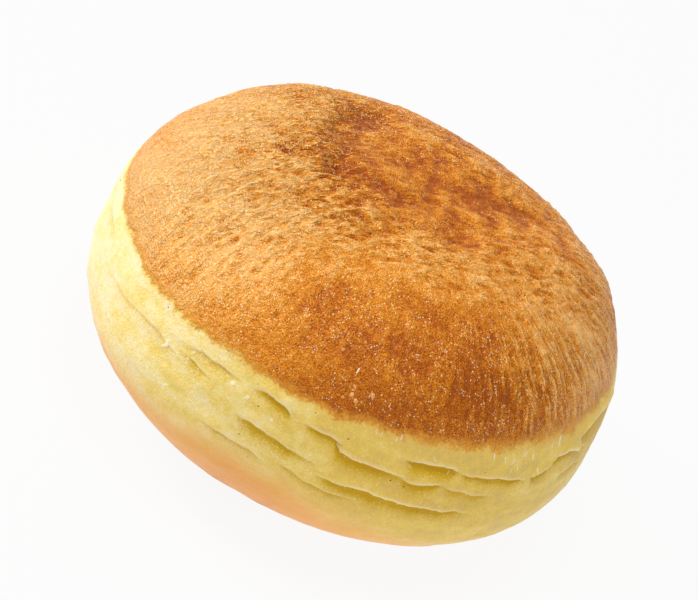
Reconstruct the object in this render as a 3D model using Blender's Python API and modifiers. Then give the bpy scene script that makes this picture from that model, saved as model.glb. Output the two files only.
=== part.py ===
"""A round filled doughnut with no hole, as one closed solid of fried dough.

The body is a turned profile: a domed top, a waist and a base that has settled on a flat
foot. The turned skin is then shaped: its plan is made a little uneven, the dome sinks in
shallow hollows, and the pale waist creases where the dough rose between its two crusts.

Metres, +Z up. The origin is the middle of the foot, on the surface that it stands on.
Azimuth 0 is +X and azimuth -90 is -Y, the doughnut's front.
"""

import math
from dataclasses import dataclass

import bmesh
import bpy
import numpy as np

MM = 0.001

# Driving dimensions.
DIAMETER = 90 * MM
HEIGHT = 51.5 * MM
WIDEST_Z = 22.5 * MM
DOME_POWER = 2.9
BASE_POWER = 2.3
SETTLING = 1.4 * MM

# The height of the browned crusts' edges above the foot, on the side.
TOP_CRUST_Z = 35.0 * MM
BASE_CRUST_Z = 16.5 * MM
TOP_CRUST_RISE = 1.8 * MM

# How finely the skin is divided. The waist carries the creases, so its rings lie closer.
SEGMENTS = 96
RINGS = 44
WAIST_TOP_Z = 36 * MM
WAIST_BOTTOM_Z = 17 * MM
WAIST_FADE = 7 * MM
WAIST_CLOSENESS = 2.0

# The cross-section of a crease: a rounded lip above it, and a hollow running out below.
LIP_SHARE = 0.3
LIP_ABOVE = 2.4 * MM
LIP_SPREAD = 1.5 * MM
GROOVE_ABOVE = 1.1 * MM
GROOVE_BELOW = 2.6 * MM
CREASE_END_DEG = 12.0


@dataclass(frozen=True)
class Crease:
    """A fold round the waist, as (azimuth in degrees, height in mm) stops and a depth in mm."""

    name: str
    depth: float
    stops: tuple


@dataclass(frozen=True)
class Hollow:
    """A sunken oval of the dome: its middle and spreads in mm, its turn in degrees, a depth in mm."""

    name: str
    middle: tuple
    spreads: tuple
    turn: float
    depth: float


CREASES = (
    Crease("front_upper", 1.2, ((-106, 31.0), (-92, 31.0), (-80, 29.5), (-64, 27.0), (-48, 26.0))),
    Crease("front_lower", 1.3, ((-110, 26.5), (-94, 25.5), (-80, 23.5), (-64, 23.0), (-46, 22.5))),
    Crease("right_upper", 0.9, ((-70, 31.0), (-56, 30.5), (-40, 29.5), (-26, 31.0), (-10, 32.5), (8, 32.0))),
    Crease("left_low", 0.6, ((-168, 28.0), (-142, 27.5), (-120, 29.0))),
    Crease("back_right", 0.9, ((20, 28.0), (42, 29.0), (60, 27.0), (80, 27.5))),
    Crease("back_left", 1.0, ((94, 29.0), (118, 30.0), (140, 28.5), (160, 29.0))),
    Crease("back_low", 0.8, ((62, 23.0), (85, 22.5), (112, 23.5), (136, 23.0))),
)

HOLLOWS = (
    Hollow("middle", (1, 5), (13, 9), 12, 1.5),
    Hollow("left_valley", (-11, 15), (4.5, 7), 0, 0.9),
    Hollow("right_valley", (19, 15), (9, 4.5), 32, 0.9),
    Hollow("dimple", (-14, -3), (3.5, 4.0), 0, 0.5),
    Hollow("front_brow", (4, -18), (12, 5), 8, -0.5),
)

# How far above the waist the hollows come in, and above the foot the shaping does.
DOME_FADE = 6 * MM
FOOT_FADE = 8 * MM

# Slow swells of the plan, as (waves round the plan, share of the radius, azimuth of a crest).
PLAN_SWELLS = ((2, 0.006, 0), (3, 0.005, 75), (5, 0.002, 20))


def clear_scene():
    """Removes whatever the scene holds."""
    for obj in list(bpy.data.objects):
        bpy.data.objects.remove(obj, do_unlink=True)


def principled(name, colour, roughness):
    """A plain Principled material of a linear colour."""
    material = bpy.data.materials.new(name)
    material.use_nodes = True
    shader = material.node_tree.nodes["Principled BSDF"]
    shader.inputs["Base Color"].default_value = (*colour, 1.0)
    shader.inputs["Roughness"].default_value = roughness
    shader.inputs["Metallic"].default_value = 0.0
    return material


def dome_curve(steps=400):
    """Points (radius, height) from the top's middle out to the widest ring, on a superellipse."""
    turn = np.linspace(0, math.pi / 2, steps)
    radius = DIAMETER / 2 * np.sin(turn) ** (2 / DOME_POWER)
    height = WIDEST_Z + (HEIGHT - WIDEST_Z) * np.cos(turn) ** (2 / DOME_POWER)
    return np.stack([radius, height], axis=1)


def base_curve(steps=400):
    """Points (radius, height) from the widest ring down to the foot's edge, where the height is 0."""
    drop = WIDEST_Z + SETTLING
    height = np.linspace(WIDEST_Z, 0, steps)
    radius = DIAMETER / 2 * (1 - ((WIDEST_Z - height) / drop) ** BASE_POWER) ** (1 / BASE_POWER)
    return np.stack([radius, height], axis=1)


def smooth_step(value):
    """0 below 0, 1 above 1, and an even S between them."""
    share = np.clip(value, 0, 1)
    return share * share * (3 - 2 * share)


def profile():
    """The side's outline from the top to the foot's middle, its points closer on the waist."""
    curve = np.concatenate([dome_curve(), base_curve()[1:]])
    between = (curve[1:] + curve[:-1]) / 2
    below_top = smooth_step((WAIST_TOP_Z + WAIST_FADE - between[:, 1]) / WAIST_FADE)
    above_bottom = smooth_step((between[:, 1] - WAIST_BOTTOM_Z + WAIST_FADE) / WAIST_FADE)
    closeness = 1 + (WAIST_CLOSENESS - 1) * below_top * above_bottom
    steps = np.linalg.norm(np.diff(curve, axis=0), axis=1) * closeness
    along = np.concatenate([[0], np.cumsum(steps)])
    at = np.linspace(0, along[-1], RINGS)
    side = np.stack([np.interp(at, along, curve[:, axis]) for axis in range(2)], axis=1)
    foot_middle = np.array([[0.0, 0.0]])
    return np.concatenate([side, foot_middle])


def turned_skin(outline):
    """The outline turned once round Z by a Screw modifier, as a new mesh."""
    edge = bpy.data.meshes.new("outline")
    points = [(radius, 0.0, height) for radius, height in outline]
    edge.from_pydata(points, [(i, i + 1) for i in range(len(points) - 1)], [])
    turned = bpy.data.objects.new("outline", edge)
    bpy.context.scene.collection.objects.link(turned)
    screw = turned.modifiers.new("turn", "SCREW")
    screw.steps = SEGMENTS
    screw.render_steps = SEGMENTS
    screw.use_merge_vertices = True
    screw.merge_threshold = 0.01 * MM
    graph = bpy.context.evaluated_depsgraph_get()
    skin = bpy.data.meshes.new_from_object(turned.evaluated_get(graph))
    bpy.data.objects.remove(turned, do_unlink=True)
    return skin


def crease_line(crease, azimuth):
    """The crease's height at each azimuth, eased from stop to stop."""
    stops = np.array(crease.stops, float)
    place = np.interp(azimuth, stops[:, 0], np.arange(len(stops)))
    before = np.minimum(place.astype(int), len(stops) - 2)
    share = smooth_step(place - before)
    return (stops[before, 1] * (1 - share) + stops[before + 1, 1] * share) * MM


def crease_depth(crease, azimuth, height):
    """How far in the skin goes at a crease, negative on the lip that stands out above it."""
    from_end = np.minimum(azimuth - crease.stops[0][0], crease.stops[-1][0] - azimuth)
    strength = crease.depth * MM * smooth_step(from_end / CREASE_END_DEG)
    above = height - crease_line(crease, azimuth)
    reach = np.where(above > 0, GROOVE_ABOVE, GROOVE_BELOW)
    groove = np.exp(-((above / reach) ** 2))
    lip = LIP_SHARE * np.exp(-(((above - LIP_ABOVE) / LIP_SPREAD) ** 2))
    return strength * (groove - lip)


def hollow_depth(hollow, x, y):
    """How far in the dome goes at a hollow: deepest in its middle, and dying away all round."""
    turn = math.radians(hollow.turn)
    across, along = x - hollow.middle[0] * MM, y - hollow.middle[1] * MM
    first = (across * math.cos(turn) + along * math.sin(turn)) / (hollow.spreads[0] * MM)
    second = (along * math.cos(turn) - across * math.sin(turn)) / (hollow.spreads[1] * MM)
    return hollow.depth * MM * np.exp(-(first**2 + second**2) / 2)


def shaped(points, normals):
    """The turned skin's points moved to the real, uneven form. The foot stays flat."""
    x, y, z = points.T
    azimuth = np.degrees(np.arctan2(y, x))
    on_dome = smooth_step((z - WAIST_TOP_Z) / DOME_FADE)
    inward = sum(hollow_depth(hollow, x, y) for hollow in HOLLOWS) * on_dome
    inward += sum(crease_depth(crease, azimuth, z) for crease in CREASES)
    off_foot = smooth_step(z / FOOT_FADE)
    moved = points - normals * (inward * off_foot)[:, None]
    swell = sum(share * np.cos(waves * np.radians(azimuth - crest)) for waves, share, crest in PLAN_SWELLS)
    moved[:, :2] *= (1 + swell * off_foot)[:, None]
    middle = (moved[:, :2].min(axis=0) + moved[:, :2].max(axis=0)) / 2
    moved[:, :2] -= middle
    return moved


def read(mesh, what):
    """The mesh's vertex positions or normals as rows of three."""
    values = np.empty(len(mesh.vertices) * 3)
    mesh.vertices.foreach_get(what, values)
    return values.reshape(-1, 3)


def paint_waist(mesh, slot):
    """Gives the faces between the two crusts' edges the pale waist's material slot."""
    for face in mesh.polygons:
        x, y, z = face.center
        edge = TOP_CRUST_Z + TOP_CRUST_RISE * x / (DIAMETER / 2)
        if BASE_CRUST_Z < z < edge and math.hypot(x, y) > DIAMETER / 3:
            face.material_index = slot


def build():
    """Makes the doughnut and puts it in its own collection."""
    clear_scene()
    skin = turned_skin(profile())
    work = bmesh.new()
    work.from_mesh(skin)
    bmesh.ops.recalc_face_normals(work, faces=work.faces)
    work.to_mesh(skin)
    work.free()
    skin.vertices.foreach_set("co", shaped(read(skin, "co"), read(skin, "normal")).ravel())
    skin.update()
    skin.name = "doughnut"
    skin.materials.clear()
    skin.materials.append(principled("browned_crust", (0.53, 0.21, 0.045), 0.45))
    skin.materials.append(principled("pale_waist", (0.82, 0.65, 0.27), 0.55))
    paint_waist(skin, 1)
    skin.shade_smooth()

    collection = bpy.data.collections.new("jelly_doughnut")
    bpy.context.scene.collection.children.link(collection)
    doughnut = bpy.data.objects.new("doughnut", skin)
    collection.objects.link(doughnut)


build()
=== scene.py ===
"""The looks of a round filled doughnut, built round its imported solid.

The skin is one closed mesh, a turned profile whose dome is browned and a little sunken, whose
waist is pale and creased where the dough rose between its crusts, and whose base is browned
again where it fried. Small blisters, peeling flakes, lumps of dough and dark specks
lie on it.

Sizes are in millimetres, and MM turns them to the frame's metres. Azimuth 0 is +X and azimuth
-90 is -Y, the doughnut's front. Heights are above the flat foot.
"""

import logging
import math
from dataclasses import dataclass
from enum import Enum

import bmesh
import bpy
import numpy as np
from mathutils import Matrix, Vector
from mathutils.bvhtree import BVHTree


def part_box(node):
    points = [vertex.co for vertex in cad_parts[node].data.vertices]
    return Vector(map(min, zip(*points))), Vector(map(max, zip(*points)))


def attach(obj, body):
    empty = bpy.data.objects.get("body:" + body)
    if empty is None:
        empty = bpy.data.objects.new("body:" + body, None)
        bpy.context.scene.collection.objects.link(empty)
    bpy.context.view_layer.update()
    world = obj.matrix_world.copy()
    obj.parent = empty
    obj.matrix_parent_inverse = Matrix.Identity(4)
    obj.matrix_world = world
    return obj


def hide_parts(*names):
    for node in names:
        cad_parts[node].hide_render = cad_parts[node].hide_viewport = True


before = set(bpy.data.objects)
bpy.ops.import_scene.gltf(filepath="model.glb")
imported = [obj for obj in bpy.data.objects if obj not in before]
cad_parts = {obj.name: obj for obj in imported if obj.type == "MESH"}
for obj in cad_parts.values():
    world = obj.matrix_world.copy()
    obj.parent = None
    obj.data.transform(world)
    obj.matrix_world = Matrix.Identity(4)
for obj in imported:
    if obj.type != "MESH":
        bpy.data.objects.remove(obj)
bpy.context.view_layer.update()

LOG = logging.getLogger("doughnut")

MM = 0.001
BODY = "root"
NODE = "doughnut"


class Mark(Enum):
    """The values that the skin's points carry for its finish."""

    ABOVE_EDGE = "above_edge"
    BELOW_EDGE = "below_edge"
    EDGE_WIDTH = "edge_width"
    FOLD = "fold_depth"
    # Where a painted highlight runs along each fold's lip.
    LIP_HIGHLIGHT = "fold_lip_highlight"
    RELIEF = "relief"
    # The crust's browning, with painted shade and light mixed in.
    BROWNING_AND_SHADE = "browning_and_shade"
    STREAKING = "streaking"
    SLANTING = "slanting"
    # The waist's tone, with painted light and shade mixed in.
    TONE_AND_SHADE = "waist_tone_and_shade"
    # Where a painted sheen lies on the crust.
    PAINTED_SHEEN = "sheen"
    # Where fewer painted glints lie.
    FEWER_GLINTS = "fewer_glints"


class Run(Enum):
    """Which way wrinkles run on the dome."""

    RADIAL = "from the middle to the rim"
    STRAIGHT = "along one line in plan"
    EVEN = "no way in particular"


def smooth_step(value: np.ndarray) -> np.ndarray:
    """0 below 0, 1 above 1, and an even S between them."""
    share = np.clip(value, 0, 1)
    return share * share * (3 - 2 * share)


def turn_from(azimuth: np.ndarray, middle: float) -> np.ndarray:
    """How far each azimuth is from a middle one, in degrees from -180 to 180."""
    return (azimuth - middle + 180) % 360 - 180


@dataclass(frozen=True)
class Colour:
    """A colour in the everyday 0 to 255 numbers of a screen."""

    red: int
    green: int
    blue: int

    def linear(self) -> tuple[float, float, float, float]:
        """The colour as the linear light that a shader mixes, with an alpha of 1."""
        parts = [value / 255 for value in (self.red, self.green, self.blue)]
        light = [part / 12.92 if part <= 0.04045 else ((part + 0.055) / 1.055) ** 2.4 for part in parts]
        return (*light, 1.0)


class GradientNoise:
    """Smooth seeded noise in space, from about -1 to 1, whose lumps are one unit across."""

    def __init__(self, seed: int) -> None:
        """Draws the table of slopes.

        Args:
            seed: the number that the draw starts from.
        """
        chance = np.random.default_rng(seed)
        self._order = chance.permutation(256)
        slopes = chance.normal(size=(256, 3))
        self._slopes = slopes / np.linalg.norm(slopes, axis=1, keepdims=True)

    def _slope(self, corner: np.ndarray) -> np.ndarray:
        """The slope at each whole-numbered corner."""
        key = self._order[corner[:, 0] & 255]
        key = self._order[(key + corner[:, 1]) & 255]
        key = self._order[(key + corner[:, 2]) & 255]
        return self._slopes[key]

    def at(self, places: np.ndarray) -> np.ndarray:
        """The noise at each place.

        Args:
            places: rows of three coordinates.

        Returns:
            One value for each row.
        """
        cell = np.floor(places).astype(int)
        inside = places - cell
        ease = inside**3 * (inside * (inside * 6 - 15) + 10)
        total = np.zeros(len(places))
        for corner in np.ndindex(2, 2, 2):
            step = np.array(corner)
            weight = np.prod(np.where(step, ease, 1 - ease), axis=1)
            total += weight * np.einsum("ij,ij->i", self._slope(cell + step), inside - step)
        return total * 1.6

    def layered(self, places: np.ndarray, layers: int = 3, gain: float = 0.5) -> np.ndarray:
        """Several layers of the noise, each twice as fine as the one before.

        Args:
            places: rows of three coordinates.
            layers: how many layers there are.
            gain: how strong a layer is beside the one before.

        Returns:
            One value for each row, from about -1 to 1.
        """
        strengths = [gain**layer for layer in range(layers)]
        total = sum(
            strength * self.at(places * 2**layer + 17.3 * layer) for layer, strength in enumerate(strengths)
        )
        return total / sum(strengths)


@dataclass(frozen=True)
class SkinProfile:
    """The outline that is turned to make the skin: half a superellipse above its widest ring and half
    of another below it, cut off flat at the foot."""

    radius: float
    height: float
    widest_height: float = 22.5
    dome_power: float = 2.9
    base_power: float = 2.15
    settling: float = 1.4
    steps: int = 1600

    def curve(self) -> np.ndarray:
        """The outline as (radius, height) points, from the top's middle down to the foot's."""
        turn = np.linspace(0, math.pi / 2, self.steps)
        rise = self.height - self.widest_height
        dome_radius = self.radius * np.sin(turn) ** (2 / self.dome_power)
        dome_height = self.widest_height + rise * np.cos(turn) ** (2 / self.dome_power)
        base_height = np.linspace(self.widest_height, 0, self.steps)[1:]
        drop = (self.widest_height - base_height) / (self.widest_height + self.settling)
        base_radius = self.radius * (1 - drop**self.base_power) ** (1 / self.base_power)
        foot_radius = np.linspace(base_radius[-1], 0, self.steps)[1:]
        radius = np.concatenate([dome_radius, base_radius, foot_radius])
        height = np.concatenate([dome_height, base_height, np.zeros(self.steps - 1)])
        return np.stack([radius, height], axis=1)


@dataclass(frozen=True)
class RowSpacing:
    """How close the skin's rows lie: closer on the waist, which has the folds, and wider on the base."""

    waist_top: float = 37.0
    waist_bottom: float = 17.0
    fade: float = 6.0
    waist_closeness: float = 1.7
    base_closeness: float = 0.4

    def closeness(self, height: np.ndarray) -> np.ndarray:
        """How many rows lie on each place of the outline, beside the dome's.

        Args:
            height: heights along the outline.

        Returns:
            The closeness at each of them.
        """
        below_top = smooth_step((self.waist_top + self.fade - height) / self.fade)
        above_bottom = smooth_step((height - self.waist_bottom + self.fade) / self.fade)
        on_base = (1 - above_bottom) * below_top
        waist = 1 + (self.waist_closeness - 1) * below_top * above_bottom
        return waist * (1 - on_base) + self.base_closeness * on_base


@dataclass(frozen=True)
class Patch:
    """A soft oval region of the dome in plan."""

    middle: tuple[float, float]
    spreads: tuple[float, float]
    turn: float = 0.0

    def weight(self, x: np.ndarray, y: np.ndarray) -> np.ndarray:
        """How much each place belongs to the patch, from 1 in its middle down to 0."""
        turn = math.radians(self.turn)
        across, along = x - self.middle[0], y - self.middle[1]
        first = (across * math.cos(turn) + along * math.sin(turn)) / self.spreads[0]
        second = (along * math.cos(turn) - across * math.sin(turn)) / self.spreads[1]
        return np.exp(-(first**2 + second**2) / 2)


@dataclass(frozen=True)
class Hollow:
    """A sunken patch of the dome, or with a depth below 0 a raised one."""

    name: str
    patch: Patch
    depth: float


@dataclass(frozen=True)
class Wrinkles:
    """A patch of small ridges: which way they run, how wide and long each is, and how high."""

    name: str
    patch: Patch
    run: Run
    width: float
    length: float
    height: float
    direction: float = 0.0


@dataclass(frozen=True)
class Wall:
    """A short steep wall on the dome, which drops on the right-hand side of its route in plan."""

    name: str
    route: tuple[tuple[float, float], ...]
    drop: float
    run_out: float
    steepness: float = 1.0

    def depth(self, x: np.ndarray, y: np.ndarray) -> np.ndarray:
        """How far in the skin goes at each place in plan.

        Args:
            x: places across.
            y: places along.

        Returns:
            The depth at each place.
        """
        place = np.stack([x, y], axis=1)
        points = np.array(self.route, float)
        nearest = np.full(len(place), np.inf)
        side = np.zeros(len(place))
        along = np.zeros(len(place))
        legs = len(points) - 1
        for leg in range(legs):
            start, stretch = points[leg], points[leg + 1] - points[leg]
            share = np.clip((place - start) @ stretch / (stretch @ stretch), 0, 1)
            away = place - start - share[:, None] * stretch
            distance = np.hypot(away[:, 0], away[:, 1])
            closer = distance < nearest
            right = stretch[1] * away[:, 0] - stretch[0] * away[:, 1]
            side = np.where(closer, np.sign(right), side)
            along = np.where(closer, (leg + share) / legs, along)
            nearest = np.minimum(nearest, distance)
        signed = nearest * side
        fall = smooth_step((signed + self.steepness) / (2 * self.steepness))
        run_out = np.exp(-np.maximum(signed, 0) / self.run_out)
        ends = smooth_step(along / 0.3) * smooth_step((1 - along) / 0.3)
        return self.drop * fall * run_out * ends


@dataclass(frozen=True)
class Fold:
    """A fold round the waist, as (azimuth, height, depth) stops of its sharp edge. The dough above the
    edge stands out in a lip and droops over the fold, and the hollow below it runs out downwards."""

    name: str
    stops: tuple[tuple[float, float, float], ...]
    run_out: float = 1.2
    lip: float = 0.35
    droop: float = 0.35


@dataclass(frozen=True)
class FoldShape:
    """The measures that every fold's cross-section shares."""

    lip_height: float = 0.75
    lip_spread: float = 0.75
    break_width: float = 0.26
    droop_height: float = 0.2
    droop_spread: float = 0.45
    # Where the painted highlight runs along each fold's lip: its height above the edge, and its spread.
    lip_highlight_height: float = 0.28
    lip_highlight_spread: float = 0.24
    depth_share: float = 1.15
    run_out_share: float = 1.2
    wobble: float = 0.4
    wobble_length: float = 2.8
    unevenness: float = 0.4


def front_folds() -> tuple[Fold, ...]:
    """The folds on the half of the waist that faces the front."""
    return (
        Fold("upper_a", ((-103, 31.4, 0), (-98, 32.2, 0.6), (-94, 32.0, 0.9), (-91, 30.5, 0)), 1.1),
        Fold("upper_b", ((-90, 30.8, 0), (-86, 31.0, 0.7), (-82, 31.0, 1.0), (-80, 30.4, 0)), 0.9),
        Fold(
            "upper_c",
            (
                (-82, 30.9, 0),
                (-80, 29.5, 1.3),
                (-77, 29.0, 1.1),
                (-71, 28.9, 0.9),
                (-67, 28.6, 0.5),
                (-64, 28, 0),
            ),
            1.1,
            0.5,
            0.5,
        ),
        Fold("upper_d", ((-67, 27.9, 0), (-64, 27.6, 0.7), (-60, 28.0, 0.9), (-56, 28.0, 0)), 1.1),
        Fold("ridge_a", ((-58, 28.4, 0), (-54, 27.4, 0.35), (-48, 26.7, 0.4), (-42, 26.4, 0)), 1.3),
        Fold("upper_e", ((-68, 31.2, 0), (-63, 31.8, 1.1), (-57, 31.7, 1.1), (-54, 31.0, 0)), 1.1, 0.3),
        Fold(
            "upper_f",
            ((-56, 31.0, 0), (-51, 30.3, 0.5), (-46, 30.2, 0.8), (-40, 29.6, 0.7), (-35, 28.6, 0)),
            0.9,
        ),
        Fold(
            "right_a",
            (
                (-35, 29.2, 0),
                (-33, 29.7, 1.3),
                (-30, 30.4, 0.9),
                (-28, 32.3, 1.1),
                (-24, 32.3, 1.1),
                (-18, 31, 0.7),
                (-11, 29.4, 0),
            ),
            1.0,
            0.4,
            0.4,
        ),
        Fold(
            "right_b",
            ((-20, 33.4, 0), (-16, 34.5, 1.2), (-10, 35.0, 1.4), (-3, 34.6, 1.1), (4, 34.0, 0)),
            3.0,
            0.4,
        ),
        Fold("right_c", ((-26, 27.0, 0), (-20, 27.6, 0.35), (-13, 26.8, 0.3), (-8, 26.0, 0)), 1.8, 0.3, 0.2),
        Fold(
            "lower_a",
            ((-103, 26.0, 0), (-98, 26.3, 0.6), (-91, 25.6, 0.55), (-85, 25.2, 0.2), (-82, 24.8, 0)),
            1.3,
            0.15,
            0.1,
        ),
        Fold(
            "lower_b",
            (
                (-84, 23.2, 0),
                (-78, 23.4, 0.6),
                (-72, 24.0, 1.2),
                (-67, 23.6, 0.9),
                (-60, 23.4, 1.0),
                (-54, 23.1, 0.7),
                (-47, 22.9, 0),
            ),
            1.1,
            0.45,
            0.45,
        ),
        Fold(
            "seam_a",
            ((-111, 21.0, 0), (-105, 21.5, 0.25), (-97, 21.5, 0.3), (-91, 20.7, 0)),
            0.9,
            0.3,
            0.2,
        ),
        Fold(
            "seam_b",
            ((-91, 22.6, 0), (-88, 22.3, 0.3), (-84, 21.4, 0.4), (-78, 20.9, 0.3), (-68, 21.0, 0)),
            0.9,
            0.4,
            0.25,
        ),
        Fold("left_a", ((-172, 29.6, 0), (-160, 30.2, 0.2), (-146, 29.4, 0)), 1.8, 0.1, 0.1),
        Fold(
            "left_b",
            ((-150, 26.2, 0), (-140, 27.0, 0.16), (-126, 28.4, 0.2), (-115, 27.2, 0)),
            1.5,
            0.1,
            0.1,
        ),
        Fold(
            "left_c",
            ((-121, 30.2, 0), (-114, 31.2, 0.25), (-108, 31.6, 0.3), (-103, 31.4, 0)),
            1.4,
            0.1,
            0.1,
        ),
        Fold("left_d", ((-121, 28.6, 0), (-115, 28.9, 0.3), (-108, 28.4, 0)), 1.4, 0.1, 0.1),
    )


def back_folds() -> tuple[Fold, ...]:
    """The folds on the half of the waist that faces the back."""
    return (
        Fold("back_a", ((12, 31.0, 0), (20, 30.2, 0.9), (30, 30.8, 1.0), (38, 29.6, 0)), 1.2),
        Fold("back_b", ((34, 28.6, 0), (42, 28.9, 0.9), (50, 28.2, 0.7), (56, 28.8, 0)), 1.1),
        Fold("back_c", ((22, 25.0, 0), (36, 25.8, 0.6), (50, 24.8, 0)), 1.4, 0.3, 0.2),
        Fold("back_d", ((54, 31.6, 0), (63, 31.0, 0.8), (74, 31.6, 0.9), (82, 31.0, 0)), 1.0),
        Fold("back_e", ((66, 27.4, 0), (76, 27.0, 1.2), (88, 27.8, 1.0), (98, 27.0, 0)), 1.2, 0.5, 0.5),
        Fold("back_f", ((80, 23.4, 0), (90, 22.9, 0.9), (104, 23.6, 0.8), (114, 23.0, 0)), 1.1, 0.4, 0.35),
        Fold("back_g", ((92, 31.0, 0), (104, 30.4, 0.8), (116, 31.2, 0.7), (124, 30.6, 0)), 1.1),
        Fold("back_h", ((112, 27.2, 0), (124, 27.8, 0.9), (138, 26.8, 0.7), (148, 27.2, 0)), 1.2, 0.4, 0.3),
        Fold("back_i", ((134, 31.2, 0), (148, 30.4, 0.6), (162, 31.2, 0.5), (172, 30.6, 0)), 1.2, 0.3, 0.2),
        Fold("back_j", ((150, 24.6, 0), (162, 25.2, 0.4), (176, 24.4, 0)), 1.5, 0.25, 0.15),
    )


@dataclass(frozen=True)
class EdgeLine:
    """A crust's edge round the side, as (azimuth, height, softness) stops all the way round."""

    stops: tuple[tuple[float, float, float], ...]

    def at(self, azimuth: np.ndarray) -> tuple[np.ndarray, np.ndarray]:
        """The edge at each azimuth.

        Args:
            azimuth: azimuths in degrees, from -180 to 180.

        Returns:
            The edge's height, and how softly the crust fades there.
        """
        stops = np.array(self.stops, float)
        height = np.interp(azimuth, stops[:, 0], stops[:, 1], period=360)
        softness = np.interp(azimuth, stops[:, 0], stops[:, 2], period=360)
        return height, softness


# Where the dome's crust ends on the side.
TOP_EDGE = EdgeLine(
    (
        (-180, 34.4, 0.7),
        (-165, 34.2, 0.7),
        (-150, 33.8, 0.7),
        (-138, 33.4, 0.7),
        (-120, 34.1, 0.6),
        (-105, 34.5, 0.6),
        (-80, 34.7, 0.8),
        (-60, 35.1, 1.0),
        (-40, 35.7, 1.1),
        (-25, 36.3, 1.2),
        (-10, 37.2, 1.1),
        (20, 37.2, 0.8),
        (60, 36.0, 0.8),
        (110, 35.2, 0.7),
        (150, 34.6, 0.7),
    )
)

# Where the browned base begins on the side.
BASE_EDGE = EdgeLine(
    (
        (-180, 15.4, 3.6),
        (-150, 17.4, 3.2),
        (-120, 18.4, 3.0),
        (-104, 20.6, 2.4),
        (-88, 20.8, 2.4),
        (-70, 17.6, 3.2),
        (-55, 15.6, 3.4),
        (-40, 13.0, 3.6),
        (0, 12.4, 3.6),
        (60, 15.0, 3.4),
        (120, 17.0, 3.4),
    )
)

# How deep the waist's yellow is, as (azimuth, tone) stops: palest on the left, where the light falls, and
# deepest on the front and right, away from it. It is partly the dough's own tone and partly painted light and
# shade.
WAIST_TONE_AND_SHADE = (
    (-180, 0.06),
    (-150, 0.10),
    (-125, 0.24),
    (-105, 0.30),
    (-85, 0.50),
    (-60, 0.66),
    (-35, 0.60),
    (-10, 0.50),
    (40, 0.40),
    (110, 0.30),
)


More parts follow.
